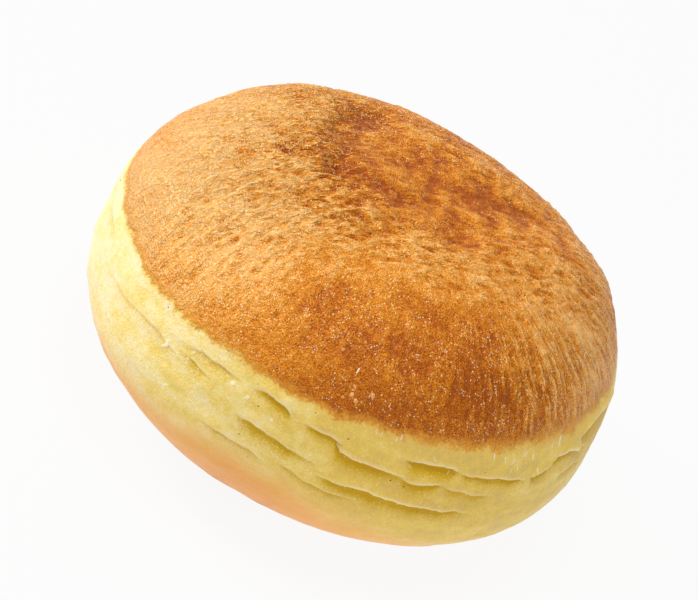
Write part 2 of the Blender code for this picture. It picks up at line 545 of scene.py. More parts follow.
@dataclass
class DoughSkin:
    """The whole doughnut's skin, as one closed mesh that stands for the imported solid."""

    profile: SkinProfile
    name: str = "dough_skin"
    subdivisions: int = 7
    spacing: RowSpacing = RowSpacing()
    fold_shape: FoldShape = FoldShape()
    folds: tuple[Fold, ...] = front_folds() + back_folds()
    hollows: tuple[Hollow, ...] = (
        Hollow("middle", Patch((3, 5), (13, 9), 20), 0.9),
        Hollow("left_valley", Patch((-12, 15), (4.0, 7), -12), 0.7),
        Hollow("right_valley", Patch((19, 16), (9, 4.0), 30), 1.0),
        Hollow("valley_end", Patch((-10.5, 23), (3.0, 2.0), 40), 0.6),
        Hollow("valley_start", Patch((-15.5, 10), (2.4, 2.0)), 0.5),
        Hollow("pit", Patch((-13, -1.5), (2.2, 2.6)), 0.7),
        Hollow("left_pit", Patch((-21.5, -3.5), (1.5, 1.2)), 0.7),
        Hollow("far_left_pit", Patch((-31, -5), (1.4, 1.2)), 0.6),
        Hollow("front_left_pit", Patch((-15.5, -16), (1.3, 1.2)), 0.6),
        Hollow("middle_pit", Patch((-2, -1), (3.0, 1.6), 20), 0.5),
        Hollow("back_pit", Patch((-3, 8.5), (2.6, 2.0)), 0.5),
        Hollow("rim_pit", Patch((9.5, -4.5), (2.0, 3.0), -20), 0.6),
        Hollow("front_rim_pit", Patch((-3, -15), (2.6, 1.4), 30), 0.5),
        Hollow("front_brow", Patch((6, -20), (13, 5), 20), -0.5),
        Hollow("left_brow", Patch((-21, 10), (4, 9)), -0.5),
        Hollow("back_brow", Patch((-12, 30), (14, 7)), -0.5),
        Hollow("back_flat", Patch((8, 35), (12, 7)), 0.7),
        Hollow("left_flat", Patch((-41, 0), (6, 9)), 0.9),
        Hollow("back_left_brow", Patch((-28, 21), (6, 6)), -0.6),
        Hollow("right_brow", Patch((35, 19), (7, 8)), -0.9),
    )
    walls: tuple[Wall, ...] = (
        Wall("front_rim", ((30, 10), (21, 6), (13, 0), (8, -8.5), (-1, -15), (-7, -20)), 0.75, 6.0, 1.5),
        Wall("left_rim", ((-17, 4), (-18, 11), (-16, 19), (-10, 26)), 0.9, 5.0, 1.6),
        Wall("pit_rim", ((-12, -7), (-15.5, -3), (-15, 1), (-12, 3)), 0.8, 2.5, 0.8),
    )
    wrinkles: tuple[Wrinkles, ...] = (
        Wrinkles("front_left", Patch((-23, -28), (9, 11), 45), Run.RADIAL, 1.3, 5.0, 0.7),
        Wrinkles("left_side", Patch((-35, -12), (6, 11), -20), Run.RADIAL, 1.4, 5.0, 0.3),
        Wrinkles("front_right", Patch((30, -26), (9, 9), -45), Run.RADIAL, 1.3, 5.0, 0.26),
        Wrinkles("right_side", Patch((40, -4), (5, 14)), Run.RADIAL, 1.3, 5.0, 0.28),
        Wrinkles("back_right", Patch((28, 28), (9, 9), -45), Run.RADIAL, 1.4, 6.0, 0.35),
        Wrinkles("back_left", Patch((-27, 27), (9, 10), 45), Run.RADIAL, 1.4, 6.0, 0.35),
        Wrinkles("left_middle", Patch((-20, -6), (10, 8), 20), Run.STRAIGHT, 1.4, 4.0, 0.75, 44.0),
        Wrinkles("front_middle", Patch((0, -16), (15, 5), 12), Run.STRAIGHT, 1.5, 4.5, 0.7, 22.0),
        Wrinkles("left_back", Patch((-25, 14), (7, 9)), Run.STRAIGHT, 1.5, 5.0, 0.4, 44.0),
        Wrinkles("right_middle", Patch((24, 0), (9, 8)), Run.STRAIGHT, 1.6, 5.0, 0.65, 34.0),
        Wrinkles("back_floor", Patch((2, 24), (22, 8)), Run.STRAIGHT, 1.7, 5.0, 0.4, 20.0),
        Wrinkles("rough_middle", Patch((-10, -8), (15, 9), 10), Run.EVEN, 1.7, 1.7, 0.5),
        Wrinkles("hollow_floor", Patch((6, 6), (17, 13), 15), Run.EVEN, 3.0, 3.0, 0.46),
        Wrinkles("swells", Patch((0, 0), (90, 90)), Run.EVEN, 6.0, 6.0, 0.3),
        Wrinkles("pebbles", Patch((0, 0), (90, 90)), Run.EVEN, 1.2, 1.2, 0.2),
    )
    # Browning, partly real and partly painted light and shade: the small patches over the hollows and pits
    # darken them as painted shade, and the paler left patch and the darker front-right ones are partly
    # painted light and shade.
    browned: tuple[tuple[Patch, float], ...] = (
        (Patch((20, -38), (21, 12), 22), 0.38),
        (Patch((4, 6), (15, 11), 15), 0.20),
        (Patch((-10, 27), (20, 9), 15), 0.16),
        (Patch((22, 18), (15, 11), 30), 0.04),
        (Patch((35, -23), (8, 12), -30), 0.18),
        (Patch((-15, 1), (15, 13), 10), 0.26),
        (Patch((-14, 17), (2.4, 4), -10), 0.30),
        (Patch((-10.5, 23), (3.0, 1.8), 40), 0.30),
        (Patch((-15.5, 10), (2.2, 1.8)), 0.25),
        (Patch((-13, -1.5), (2.4, 2.6)), 0.35),
        (Patch((18, 17), (8, 2.6), 30), 0.20),
        (Patch((-2, -1), (3.0, 1.6), 20), 0.22),
        (Patch((-3, 8.5), (2.4, 1.8)), 0.22),
        (Patch((9.5, -4.5), (1.8, 3.0), -20), 0.28),
        (Patch((-3, -15), (2.6, 1.4), 30), 0.25),
        (Patch((-15.5, -16), (1.3, 1.1)), 0.28),
        (Patch((-21.5, -3.5), (1.5, 1.2)), 0.35),
        (Patch((-31, -5), (1.4, 1.1)), 0.35),
        (Patch((40, 8), (5, 22)), 0.10),
        (Patch((-38, 0), (11, 26)), -0.08),
    )
    # Painted sheen: where the crust is painted paler and its painted glints crowd, mostly on the left, where
    # the light falls, and along the right rim.
    sheen: tuple[tuple[Patch, float], ...] = (
        (Patch((-35, -10), (8, 14), -15), 1.0),
        (Patch((-24, -26), (7, 9), 45), 0.5),
        (Patch((-20, 26), (14, 7), 30), 0.15),
        (Patch((42, -6), (5, 16), 0), 0.45),
    )
    slanted: tuple[tuple[Patch, float], ...] = (
        (Patch((-26, -12), (14, 17), 20), 1.0),
        (Patch((-26, 14), (10, 14)), 0.7),
        (Patch((4, -14), (16, 6), 15), 0.5),
        (Patch((24, 2), (10, 8), 20), 0.4),
        (Patch((2, 24), (22, 9)), 0.4),
    )
    streaked: tuple[tuple[Patch, float], ...] = (
        (Patch((-24, -30), (9, 9), 45), 0.5),
        (Patch((36, -18), (10, 16), -30), 0.9),
        (Patch((36, 14), (9, 16), 30), 0.7),
        (Patch((-34, 10), (8, 20)), 0.5),
    )
    # Where fewer painted glints lie, in the sunken middle.
    fewer_glints_hollow: Patch = Patch((4, 6), (14, 9), 20)
    plan_swells: tuple[tuple[int, float, float], ...] = ((2, 0.006, 0), (3, 0.005, 75), (5, 0.002, 20))
    dome_from: float = 37.0
    dome_fade: float = 6.0
    foot_fade: float = 7.0
    polar_radius: float = 32.0
    crest_level: float = 0.35
    crest_steepness: float = 1.6

    def build(self) -> bpy.types.Object:
        """Makes the skin's mesh, shapes it and marks it for its finish.

        Returns:
            The skin, in place in the frame.
        """
        mesh = self._ball()
        directions = self._read(mesh, "co")
        places, azimuth, heights = self._turned(directions)
        outward, down = self._frames(azimuth, heights)
        marks = self._marks(places, azimuth, heights[:, 0])
        relief, lift, sag, fold, rim = self._relief(places, azimuth, heights)
        shaped = places + outward * lift[:, None] + down * sag[:, None]
        shaped = self._swollen(shaped, azimuth)
        marks[Mark.FOLD] = fold
        marks[Mark.LIP_HIGHLIGHT] = rim
        marks[Mark.RELIEF] = relief
        mesh.vertices.foreach_set("co", (shaped * MM).astype(np.float32).ravel())
        for mark, values in marks.items():
            mesh.attributes.new(mark.value, "FLOAT", "POINT").data.foreach_set(
                "value", values.astype(np.float32)
            )
        mesh.update()
        mesh.shade_smooth()
        skin = bpy.data.objects.new(self.name, mesh)
        bpy.context.scene.collection.objects.link(skin)
        return skin

    def _ball(self) -> bpy.types.Mesh:
        """An evenly divided cube, to be blown up to the skin's shape."""
        cage = bpy.data.meshes.new("cage")
        work = bmesh.new()
        bmesh.ops.create_cube(work, size=2.0)
        work.to_mesh(cage)
        work.free()
        holder = bpy.data.objects.new("cage", cage)
        bpy.context.scene.collection.objects.link(holder)
        divide = holder.modifiers.new("divide", "SUBSURF")
        divide.subdivision_type = "SIMPLE"
        divide.levels = self.subdivisions
        divide.render_levels = self.subdivisions
        graph = bpy.context.evaluated_depsgraph_get()
        mesh = bpy.data.meshes.new_from_object(holder.evaluated_get(graph))
        mesh.name = self.name
        bpy.data.objects.remove(holder, do_unlink=True)
        return mesh

    @staticmethod
    def _read(mesh: bpy.types.Mesh, what: str) -> np.ndarray:
        """A mesh's vertex positions or normals as rows of three."""
        values = np.empty(len(mesh.vertices) * 3)
        mesh.vertices.foreach_get(what, values)
        return values.reshape(-1, 3)

    def _turned(self, cube: np.ndarray) -> tuple[np.ndarray, np.ndarray, np.ndarray]:
        """Maps the cube's points to the turned profile.

        Args:
            cube: points on the cube's faces.

        Returns:
            The points on the turned skin, their azimuths in degrees, and for each the height, the
            radius and the outline's two slopes there.
        """
        even = np.tan(cube * (math.pi / 4))
        flat = np.hypot(even[:, 0], even[:, 1])
        azimuth = np.arctan2(even[:, 1], even[:, 0])
        from_top = np.arctan2(flat, even[:, 2]) / math.pi
        curve = self.profile.curve()
        legs = np.diff(curve, axis=0)
        lengths = np.linalg.norm(legs, axis=1)
        between = (curve[1:] + curve[:-1]) / 2
        rows = np.concatenate([[0], np.cumsum(lengths * self.spacing.closeness(between[:, 1]))])
        rows /= rows[-1]
        slopes = legs / lengths[:, None]
        middle_rows = (rows[1:] + rows[:-1]) / 2
        radius = np.interp(from_top, rows, curve[:, 0])
        height = np.interp(from_top, rows, curve[:, 1])
        out_slope = np.interp(from_top, middle_rows, slopes[:, 0])
        up_slope = np.interp(from_top, middle_rows, slopes[:, 1])
        places = np.stack([radius * np.cos(azimuth), radius * np.sin(azimuth), height], axis=1)
        outline = np.stack([height, radius, out_slope, up_slope], axis=1)
        return places, np.degrees(azimuth), outline

    @staticmethod
    def _frames(azimuth: np.ndarray, outline: np.ndarray) -> tuple[np.ndarray, np.ndarray]:
        """The skin's directions at each point.

        Args:
            azimuth: the points' azimuths in degrees.
            outline: the points' height, radius and slopes.

        Returns:
            The direction straight out of the skin, and the one down along it.
        """
        turn = np.radians(azimuth)
        out_slope, up_slope = outline[:, 2], outline[:, 3]
        outward = np.stack([-up_slope * np.cos(turn), -up_slope * np.sin(turn), out_slope], axis=1)
        down = np.stack([out_slope * np.cos(turn), out_slope * np.sin(turn), up_slope], axis=1)
        return outward, down

    def _marks(self, places: np.ndarray, azimuth: np.ndarray, height: np.ndarray) -> dict[Mark, np.ndarray]:
        """Where each point lies beside the crusts' edges, how browned it is with painted shade and light
        mixed in, and where the painted sheen lies.

        Args:
            places: points on the turned skin.
            azimuth: their azimuths in degrees.
            height: their heights.

        Returns:
            A value for each point under each mark.
        """
        ragged = GradientNoise(11).layered(places / 5.0, 3, 0.6)
        top, top_softness = TOP_EDGE.at(azimuth)
        base, base_softness = BASE_EDGE.at(azimuth)
        slow = GradientNoise(12).layered(places / 14.0, 3)
        x, y = places[:, 0], places[:, 1]
        # Browning, partly real and partly painted shade and light.
        browned = sum(patch.weight(x, y) * share for patch, share in self.browned)
        streaked = sum(patch.weight(x, y) * share for patch, share in self.streaked)
        slanted = sum(patch.weight(x, y) * share for patch, share in self.slanted)
        # Painted sheen.
        sheen = sum(patch.weight(x, y) * share for patch, share in self.sheen)
        return {
            Mark.ABOVE_EDGE: height - top + ragged * 1.1,
            Mark.BELOW_EDGE: (base - height + ragged * 1.2) / base_softness,
            Mark.EDGE_WIDTH: top_softness,
            Mark.BROWNING_AND_SHADE: slow * 0.2 + browned,
            Mark.STREAKING: np.clip(streaked, 0.15, 1),
            Mark.SLANTING: np.clip(slanted, 0, 1),
            Mark.PAINTED_SHEEN: np.clip(sheen, 0, 1),
            Mark.TONE_AND_SHADE: np.interp(azimuth, *np.transpose(WAIST_TONE_AND_SHADE), period=360),
            Mark.FEWER_GLINTS: self.fewer_glints_hollow.weight(x, y),
        }

    def _relief(self, places: np.ndarray, azimuth: np.ndarray, outline: np.ndarray) -> tuple[np.ndarray, ...]:
        """The hollows, walls, wrinkles and folds.

        Args:
            places: points on the turned skin.
            azimuth: their azimuths in degrees.
            outline: their height, radius and slopes.

        Returns:
            For each point its fine relief, how far it moves out, how far it slides down, how deep in
            a fold it is, and how near it is to a fold's thin rim.
        """
        height = outline[:, 0]
        on_dome = smooth_step((height - self.dome_from) / self.dome_fade)
        off_foot = smooth_step(height / self.foot_fade)
        x, y = places[:, 0], places[:, 1]
        sunk = sum(hollow.depth * hollow.patch.weight(x, y) for hollow in self.hollows)
        sunk += sum(wall.depth(x, y) for wall in self.walls)
        fine = self._wrinkled(places, azimuth, outline)
        lift, sag, fold, rim = self._folded(places, azimuth, height)
        waist = 1 - on_dome
        lift += (fine - sunk) * on_dome
        lift += GradientNoise(31).layered(places / (9.0, 9.0, 5.0), 2) * 0.35 * waist * off_foot
        lift += GradientNoise(32).layered(places / (3.2, 3.2, 1.8), 2) * 0.07 * waist * off_foot
        return fine * on_dome, lift * off_foot, sag * off_foot, fold, rim

    def _wrinkled(self, places: np.ndarray, azimuth: np.ndarray, outline: np.ndarray) -> np.ndarray:
        """The dome's fine relief from its wrinkles."""
        turn = np.radians(azimuth)
        total = np.zeros(len(places))
        for number, field in enumerate(self.wrinkles):
            weight = field.patch.weight(places[:, 0], places[:, 1])
            if field.run is Run.RADIAL:
                around = np.stack([np.cos(turn), np.sin(turn)], axis=1) * self.polar_radius / field.width
                path = outline[:, 1] - outline[:, 0]
                where = np.column_stack([around, path / field.length])
            elif field.run is Run.STRAIGHT:
                line = math.radians(field.direction)
                along = places[:, 0] * math.cos(line) + places[:, 1] * math.sin(line)
                across = places[:, 1] * math.cos(line) - places[:, 0] * math.sin(line)
                up = places[:, 2] / field.width
                where = np.column_stack([along / field.length, across / field.width, up])
            else:
                where = places / field.width
            rough = GradientNoise(40 + number).layered(where, 2, 0.45)
            if field.run is not Run.EVEN:
                rough = self.crest_level - np.abs(rough) * self.crest_steepness
            total += rough * field.height * weight
        return total

    def _folded(self, places: np.ndarray, azimuth: np.ndarray, height: np.ndarray) -> tuple[np.ndarray, ...]:
        """The waist's folds.

        Args:
            places: points on the turned skin.
            azimuth: their azimuths in degrees.
            height: their heights.

        Returns:
            For each point how far it moves out, how far it slides down, how deep in a fold it is, and
            how near it is to a fold's thin rim.
        """
        shape = self.fold_shape
        lift, sag, deepest, rim = (np.zeros(len(places)) for _ in range(4))
        ring = places * (1, 1, 0) / shape.wobble_length
        for number, fold in enumerate(self.folds):
            stops = np.array(fold.stops, float)
            middle = stops[:, 0].mean()
            turn = turn_from(azimuth, middle) + middle
            near = (turn > stops[0, 0]) & (turn < stops[-1, 0])
            where, above = ring[near], height[near]
            noise = GradientNoise(70 + number)
            place = np.interp(turn[near], stops[:, 0], np.arange(len(stops)))
            before = np.minimum(place.astype(int), len(stops) - 2)
            share = smooth_step(place - before)[:, None]
            eased = stops[before] * (1 - share) + stops[before + 1] * share
            above = above - eased[:, 1] - noise.layered(where + number, 3, 0.6) * shape.wobble
            depth = eased[:, 2] * shape.depth_share * (1 + noise.at(where * 1.3 + 5.5) * shape.unevenness)
            strength = np.minimum(depth, 1)
            run_out = fold.run_out * shape.run_out_share
            inside = smooth_step((shape.break_width / 2 - above) / shape.break_width)
            hollow = inside * np.exp(np.minimum(above, 0) / run_out) * depth
            proud = np.exp(-(((above - shape.lip_height) / shape.lip_spread) ** 2)) * strength
            droop = np.exp(-(((above - shape.droop_height) / shape.droop_spread) ** 2)) * strength
            # How near each point is to the lip's thin rim, where the finish paints a highlight.
            edge = np.exp(-(((above - shape.lip_highlight_height) / shape.lip_highlight_spread) ** 2)) * strength
            lift[near] += proud * fold.lip - hollow
            sag[near] += droop * fold.droop
            deepest[near] = np.maximum(deepest[near], hollow)
            rim[near] = np.maximum(rim[near], edge)
        return lift, sag, deepest, rim

    def _swollen(self, places: np.ndarray, azimuth: np.ndarray) -> np.ndarray:
        """The shape with its plan made a little uneven and centred again, none of it below the foot."""
        off_foot = smooth_step(places[:, 2] / self.foot_fade)
        turn = np.radians(azimuth)
        swell = sum(
            share * np.cos(waves * (turn - math.radians(crest))) for waves, share, crest in self.plan_swells
        )
        swollen = places.copy()
        swollen[:, :2] *= (1 + swell * off_foot)[:, None]
        low, high = swollen[:, :2].min(axis=0), swollen[:, :2].max(axis=0)
        swollen[:, :2] -= (low + high) / 2
        swollen[:, 2] = np.maximum(swollen[:, 2], 0)
        return swollen


@dataclass(frozen=True)
class Seat:
    """A place on the finished skin, and the way straight out of it."""

    place: Vector
    outward: Vector

    def frame(self, turn: float) -> Matrix:
        """Axes that stand on the skin there, turned about the way out."""
        upright = self.outward.to_track_quat("Z", "Y").to_matrix().to_4x4()
        return Matrix.Translation(self.place) @ upright @ Matrix.Rotation(turn, 4, "Z")


class Seats:
    """Finds places on the finished skin for the small pieces that lie on it."""

    def __init__(self, skin: bpy.types.Object, reach: float = 80.0) -> None:
        """Takes the skin's shape.

        Args:
            skin: the finished skin.
            reach: how far from the middle to look inwards from, in millimetres.
        """
        self._tree = BVHTree.FromObject(skin, bpy.context.evaluated_depsgraph_get())
        self._reach = reach * MM

    def beside(self, azimuth: float, height: float) -> Seat:
        """The place on the side at an azimuth in degrees and a height in millimetres."""
        turn = math.radians(azimuth)
        away = Vector((math.cos(turn), math.sin(turn), 0))
        start = away * self._reach + Vector((0, 0, height * MM))
        place, outward, _, _ = self._tree.ray_cast(start, -away)
        return Seat(place, outward)


@dataclass(frozen=True)
class BitShape:
    """The form that small pieces of one kind share, as shares of their own width."""

    length: float = 1.0
    thickness: float = 0.5
    sinking: float = 0.3
    bend: float = 0.0
    crookedness: float = 0.2
    waviness: float = 3.0
    stretches: tuple[float, float] = (0.8, 1.25)


@dataclass(frozen=True)
class BitFinish:
    """A small piece's finish: its two colours, and how rough it is."""

    light: Colour
    deep: Colour
    roughness: float
    grain: float = 0.25
    grain_height: float = 0.05

    def make(self, name: str) -> bpy.types.Material:
        """Builds the material's nodes.

        Args:
            name: the material's name.

        Returns:
            The finished material.
        """
        bench = Bench(name)
        where = bench.places()
        fine = bench.noise(where, self.grain, 2.0, 0.6)
        slow = bench.noise(where, 1.5, 2.0)
        share = bench.span(bench.weighted((fine, 0.5), (slow, 0.5)), 0.35, 0.65)
        bench.feed(bench.shader.inputs["Base Color"], bench.mix(share, self.light, self.deep))
        rough = bench.between(slow, self.roughness - 0.1, self.roughness + 0.1)
        bench.feed(bench.shader.inputs["Roughness"], rough)
        height = bench.maths("MULTIPLY", fine, self.grain_height)
        bench.feed(bench.shader.inputs["Normal"], bench.bump(height))
        bench.shader.inputs["Specular IOR Level"].default_value = 0.35
        return bench.material


@dataclass(frozen=True)
class Scatter:
    """Where stray pieces may lie: how many, and between which azimuths, heights and widths."""

    count: int
    azimuths: tuple[float, float]
    heights: tuple[float, float]
    widths: tuple[float, float]


@dataclass
class Bits:
    """Many small pieces of one kind that lie on the skin, joined into one mesh."""

    name: str
    shape: BitShape
    finish: BitFinish
    spots: tuple[tuple[float, float, float], ...]
    strays: tuple[Scatter, ...]
    seed: int
    lean: float = 180.0
    divisions: int = 3

    def build(self, seats: Seats) -> bpy.types.Object:
        """Makes every piece of the kind, each seated in the skin.

        Args:
            seats: finds places on the skin.

        Returns:
            The joined pieces, dressed.
        """
        chance = np.random.default_rng(self.seed)
        work = bmesh.new()
        for azimuth, height, width in self.spots + self._scattered(chance):
            self._add(work, seats.beside(azimuth, height), width, chance)
        mesh = bpy.data.meshes.new(self.name)
        work.to_mesh(mesh)
        work.free()
        mesh.shade_smooth()
        mesh.materials.append(self.finish.make(self.name))
        bits = bpy.data.objects.new(self.name, mesh)
        bpy.context.scene.collection.objects.link(bits)
        return bits

    def _scattered(self, chance: np.random.Generator) -> tuple[tuple[float, float, float], ...]:
        """The stray pieces' azimuths, heights and widths."""
        spots = []
        for scatter in self.strays:
            for _ in range(scatter.count):
                share = chance.uniform() ** 2
                width = scatter.widths[0] + (scatter.widths[1] - scatter.widths[0]) * share
                spots.append((chance.uniform(*scatter.azimuths), chance.uniform(*scatter.heights), width))
        return tuple(spots)

    def _add(self, work: bmesh.types.BMesh, seat: Seat, width: float, chance: np.random.Generator) -> None:
        """Adds one uneven piece, half sunk in the skin."""
        shape = self.shape
        made = bmesh.ops.create_icosphere(work, subdivisions=self.divisions, radius=0.5)["verts"]
        waves = chance.normal(size=(3, 3)) * shape.waviness
        phases = chance.uniform(0, math.tau, 3)
        stretch = chance.uniform(*shape.stretches)
        for vert in made:
            uneven = sum(
                math.sin(Vector(wave).dot(vert.co) * 2 + phase) for wave, phase in zip(waves, phases)
            )
            point = vert.co * (1 + uneven * shape.crookedness / 3)
            bow = shape.bend * point.y**2
            vert.co = Vector((point.x, point.y * shape.length * stretch, point.z * shape.thickness + bow))
            vert.co.z -= shape.thickness * shape.sinking / 2
            vert.co *= width * MM
        turn = math.radians(chance.uniform(-self.lean, self.lean))
        bmesh.ops.transform(work, matrix=seat.frame(turn), verts=made)


def all_bits() -> tuple[Bits, ...]:
    """The kinds of small pieces that lie on the skin."""
    blisters = Bits(
        "crust_blisters",
        BitShape(thickness=0.5, sinking=0.4, crookedness=0.25),
        BitFinish(Colour(246, 188, 118), Colour(230, 148, 66), 0.34),
        (
            (-81.3, 37.5, 0.83),
            (-78.3, 39.0, 0.86),
            (-82.6, 38.1, 0.72),
            (-84.2, 37.3, 0.58),
            (-88.5, 42.6, 0.58),
            (-84.3, 44.4, 0.50),
            (-76.6, 39.5, 0.43),
            (-82.8, 39.3, 0.54),
            (-82.8, 38.7, 0.43),
        ),
        (
            Scatter(46, (-150, -20), (38.5, 45.5), (0.25, 0.5)),
            Scatter(60, (-20, 210), (38.0, 46.0), (0.25, 0.6)),
        ),
        seed=301,
    )
    flakes = Bits(
        "dough_flakes",
        BitShape(length=4.2, thickness=0.4, sinking=0.1, bend=0.25, crookedness=0.3),
        BitFinish(Colour(255, 240, 208), Colour(250, 218, 164), 0.45),
        (
            (-44.5, 33.6, 0.28),
            (-42.0, 31.4, 0.26),
            (-39.0, 34.2, 0.3),
            (-36.6, 33.4, 0.36),
            (-34.0, 30.8, 0.26),
            (-31.0, 34.6, 0.34),
            (-28.6, 34.8, 0.44),
            (-47.6, 34.2, 0.24),
            (-83.4, 41.2, 0.26),
        ),
        (
            Scatter(14, (-75, -25), (29.0, 35.0), (0.14, 0.24)),
            Scatter(26, (0, 180), (26.0, 34.5), (0.16, 0.34)),
        ),
        seed=302,
        lean=24.0,
    )
    lumps = Bits(
        "dough_lumps",
        BitShape(length=1.3, thickness=0.36, sinking=0.5, crookedness=0.35),
        BitFinish(Colour(254, 240, 200), Colour(248, 224, 152), 0.48),
        (
            (-122.4, 28.2, 0.93),
            (-122.9, 27.2, 0.62),
            (-116.6, 28.6, 0.68),
            (-112.0, 26.4, 0.50),
            (-105.4, 30.4, 0.93),
            (-101.4, 29.8, 0.74),
            (-130.2, 30.8, 0.56),
            (-95.0, 28.6, 0.50),
            (-118.4, 22.0, 0.56),
        ),
        (
            Scatter(30, (-155, -85), (21.0, 32.0), (0.2, 0.5)),
            Scatter(30, (20, 170), (20.0, 32.0), (0.2, 0.6)),
        ),
        seed=303,
        lean=50.0,
    )
    specks = Bits(
        "crust_specks",
        BitShape(thickness=0.6, sinking=0.4, crookedness=0.4),
        BitFinish(Colour(120, 66, 20), Colour(52, 26, 8), 0.5),
        (
            (-126.7, 32.7, 0.26),
            (-114.5, 36.4, 0.30),
            (-98.7, 29.5, 0.22),
            (-87.8, 33.4, 0.22),
            (-80.7, 29.5, 0.22),
            (-79.5, 31.7, 0.26),
            (-67.8, 27.0, 0.26),
            (-64.5, 26.4, 0.26),
            (-67.0, 22.6, 0.24),
            (-48.6, 31.4, 0.22),
            (-99.6, 23.2, 0.24),
        ),
        (
            Scatter(10, (-120, -30), (20.0, 36.0), (0.14, 0.24)),
            Scatter(18, (-20, 220), (16.0, 40.0), (0.16, 0.36)),
        ),
        seed=304,
        divisions=2,
    )
    return blisters, flakes, lumps, specks


class Bench:
    """Makes and joins the nodes of one material."""

    def __init__(self, name: str) -> None:
        """Starts an empty material.

        Args:
            name: the material's name.
        """
        self.material = bpy.data.materials.new(name)
        self.material.use_nodes = True
        self._tree = self.material.node_tree
        self.shader = self._tree.nodes["Principled BSDF"]

    def feed(self, socket: bpy.types.NodeSocket, value: object) -> None:
        """Gives a socket its value, or joins another node's output to it."""
        if isinstance(value, bpy.types.NodeSocket):
            self._tree.links.new(value, socket)
        elif isinstance(value, Colour):
            socket.default_value = value.linear()
        else:
            socket.default_value = value

    def mark(self, mark: Mark) -> bpy.types.NodeSocket:
        """A value that the skin's points carry."""
        node = self._tree.nodes.new("ShaderNodeAttribute")
        node.attribute_name = mark.value
        return node.outputs["Fac"]

    def places(self, stretch: tuple[float, float, float] = (1, 1, 1)) -> bpy.types.NodeSocket:
        """The surface's own places in millimetres, stretched along each axis."""
        node = self._tree.nodes.new("ShaderNodeTexCoord")
        scale = self._tree.nodes.new("ShaderNodeVectorMath")
        scale.operation = "MULTIPLY"
        self.feed(scale.inputs[0], node.outputs["Object"])
        scale.inputs[1].default_value = tuple(part / MM for part in stretch)
        return scale.outputs[0]

    def slanted(self, direction: float, length: float, width: float) -> bpy.types.NodeSocket:
        """The surface's own places, drawn out along one direction in plan.

        Args:
            direction: the direction's angle from +X in degrees.
            length: how many millimetres along it count as one.
            width: how many across it do.

        Returns:
            The drawn-out places.
        """
        node = self._tree.nodes.new("ShaderNodeMapping")
        node.vector_type = "TEXTURE"
        self.feed(node.inputs["Vector"], self.places())
        node.inputs["Rotation"].default_value = (0, 0, math.radians(direction))
        node.inputs["Scale"].default_value = (length, width, width)
        return node.outputs["Vector"]

    def vector(self, operation: str, first: object, second: object = (0, 0, 0)) -> bpy.types.NodeSocket:
        """One step of vector arithmetic."""
        node = self._tree.nodes.new("ShaderNodeVectorMath")
        node.operation = operation
        self.feed(node.inputs[0], first)
        self.feed(node.inputs["Scale"] if operation == "SCALE" else node.inputs[1], second)
        return node.outputs[0]

    def maths(self, operation: str, first: object, second: object = 0.0) -> bpy.types.NodeSocket:
        """One step of arithmetic."""
        node = self._tree.nodes.new("ShaderNodeMath")
        node.operation = operation
        self.feed(node.inputs[0], first)
        self.feed(node.inputs[1], second)
        return node.outputs[0]

    def weighted(self, *pairs: tuple[object, float]) -> bpy.types.NodeSocket:
        """The sum of several values, each times its own number."""
        total = None
        for value, weight in pairs:
            part = self.maths("MULTIPLY", value, weight)
            total = part if total is None else self.maths("ADD", total, part)
        return total

    def span(self, value: object, low: float, high: float, top: float = 1.0) -> bpy.types.NodeSocket:
        """0 where the value is at low, top where it is at high, and a smooth S between them."""
        node = self._tree.nodes.new("ShaderNodeMapRange")
        node.interpolation_type = "SMOOTHSTEP"
        self.feed(node.inputs["Value"], value)
        self.feed(node.inputs["From Min"], low)
        self.feed(node.inputs["From Max"], high)
        self.feed(node.inputs["To Max"], top)
        return node.outputs["Result"]

    def noise(
        self, where: object, size: float, layers: float = 2.0, rough: float = 0.5
    ) -> bpy.types.NodeSocket:
        """Smooth noise from 0 to 1, with lumps of about the given size in millimetres."""
        node = self._tree.nodes.new("ShaderNodeTexNoise")
        self.feed(node.inputs["Vector"], where)
        node.inputs["Scale"].default_value = 1 / size
        node.inputs["Detail"].default_value = layers
        node.inputs["Roughness"].default_value = rough
        return node.outputs["Fac"]

    def cells(self, where: object, size: float) -> tuple[bpy.types.NodeSocket, bpy.types.NodeSocket]:
        """Many scattered cells, about a size apart.

        Args:
            where: the places that the cells lie in.
            size: how far apart the cells' centres are, in millimetres.

        Returns:
            The distance from the nearest centre, in sizes, and a chance value for each cell.
        """
        node = self._tree.nodes.new("ShaderNodeTexVoronoi")
        self.feed(node.inputs["Vector"], where)
        node.inputs["Scale"].default_value = 1 / size
        parts = self._tree.nodes.new("ShaderNodeSeparateColor")
        self.feed(parts.inputs[0], node.outputs["Color"])
        return node.outputs["Distance"], parts.outputs[0]

    def mix(self, share: object, first: object, second: object) -> bpy.types.NodeSocket:
        """One colour laid over another."""
        node = self._tree.nodes.new("ShaderNodeMix")
        node.data_type = "RGBA"
        self.feed(node.inputs[0], share)
        self.feed(node.inputs[6], first)
        self.feed(node.inputs[7], second)
        return node.outputs[2]

    def between(self, share: object, first: object, second: object) -> bpy.types.NodeSocket:
        """A value between two others."""
        node = self._tree.nodes.new("ShaderNodeMix")
        node.data_type = "FLOAT"
        self.feed(node.inputs[0], share)
        self.feed(node.inputs[2], first)
        self.feed(node.inputs[3], second)
        return node.outputs[0]

    def ramp(self, value: object, stops: tuple[tuple[float, Colour], ...]) -> bpy.types.NodeSocket:
        """A colour that runs through several stops as the value goes from 0 to 1."""
        node = self._tree.nodes.new("ShaderNodeValToRGB")
        self.feed(node.inputs[0], value)
        elements = node.color_ramp.elements
        while len(elements) < len(stops):
            elements.new(0.5)
        for element, (place, colour) in zip(elements, stops):
            element.position = place
            element.color = colour.linear()
        return node.outputs["Color"]

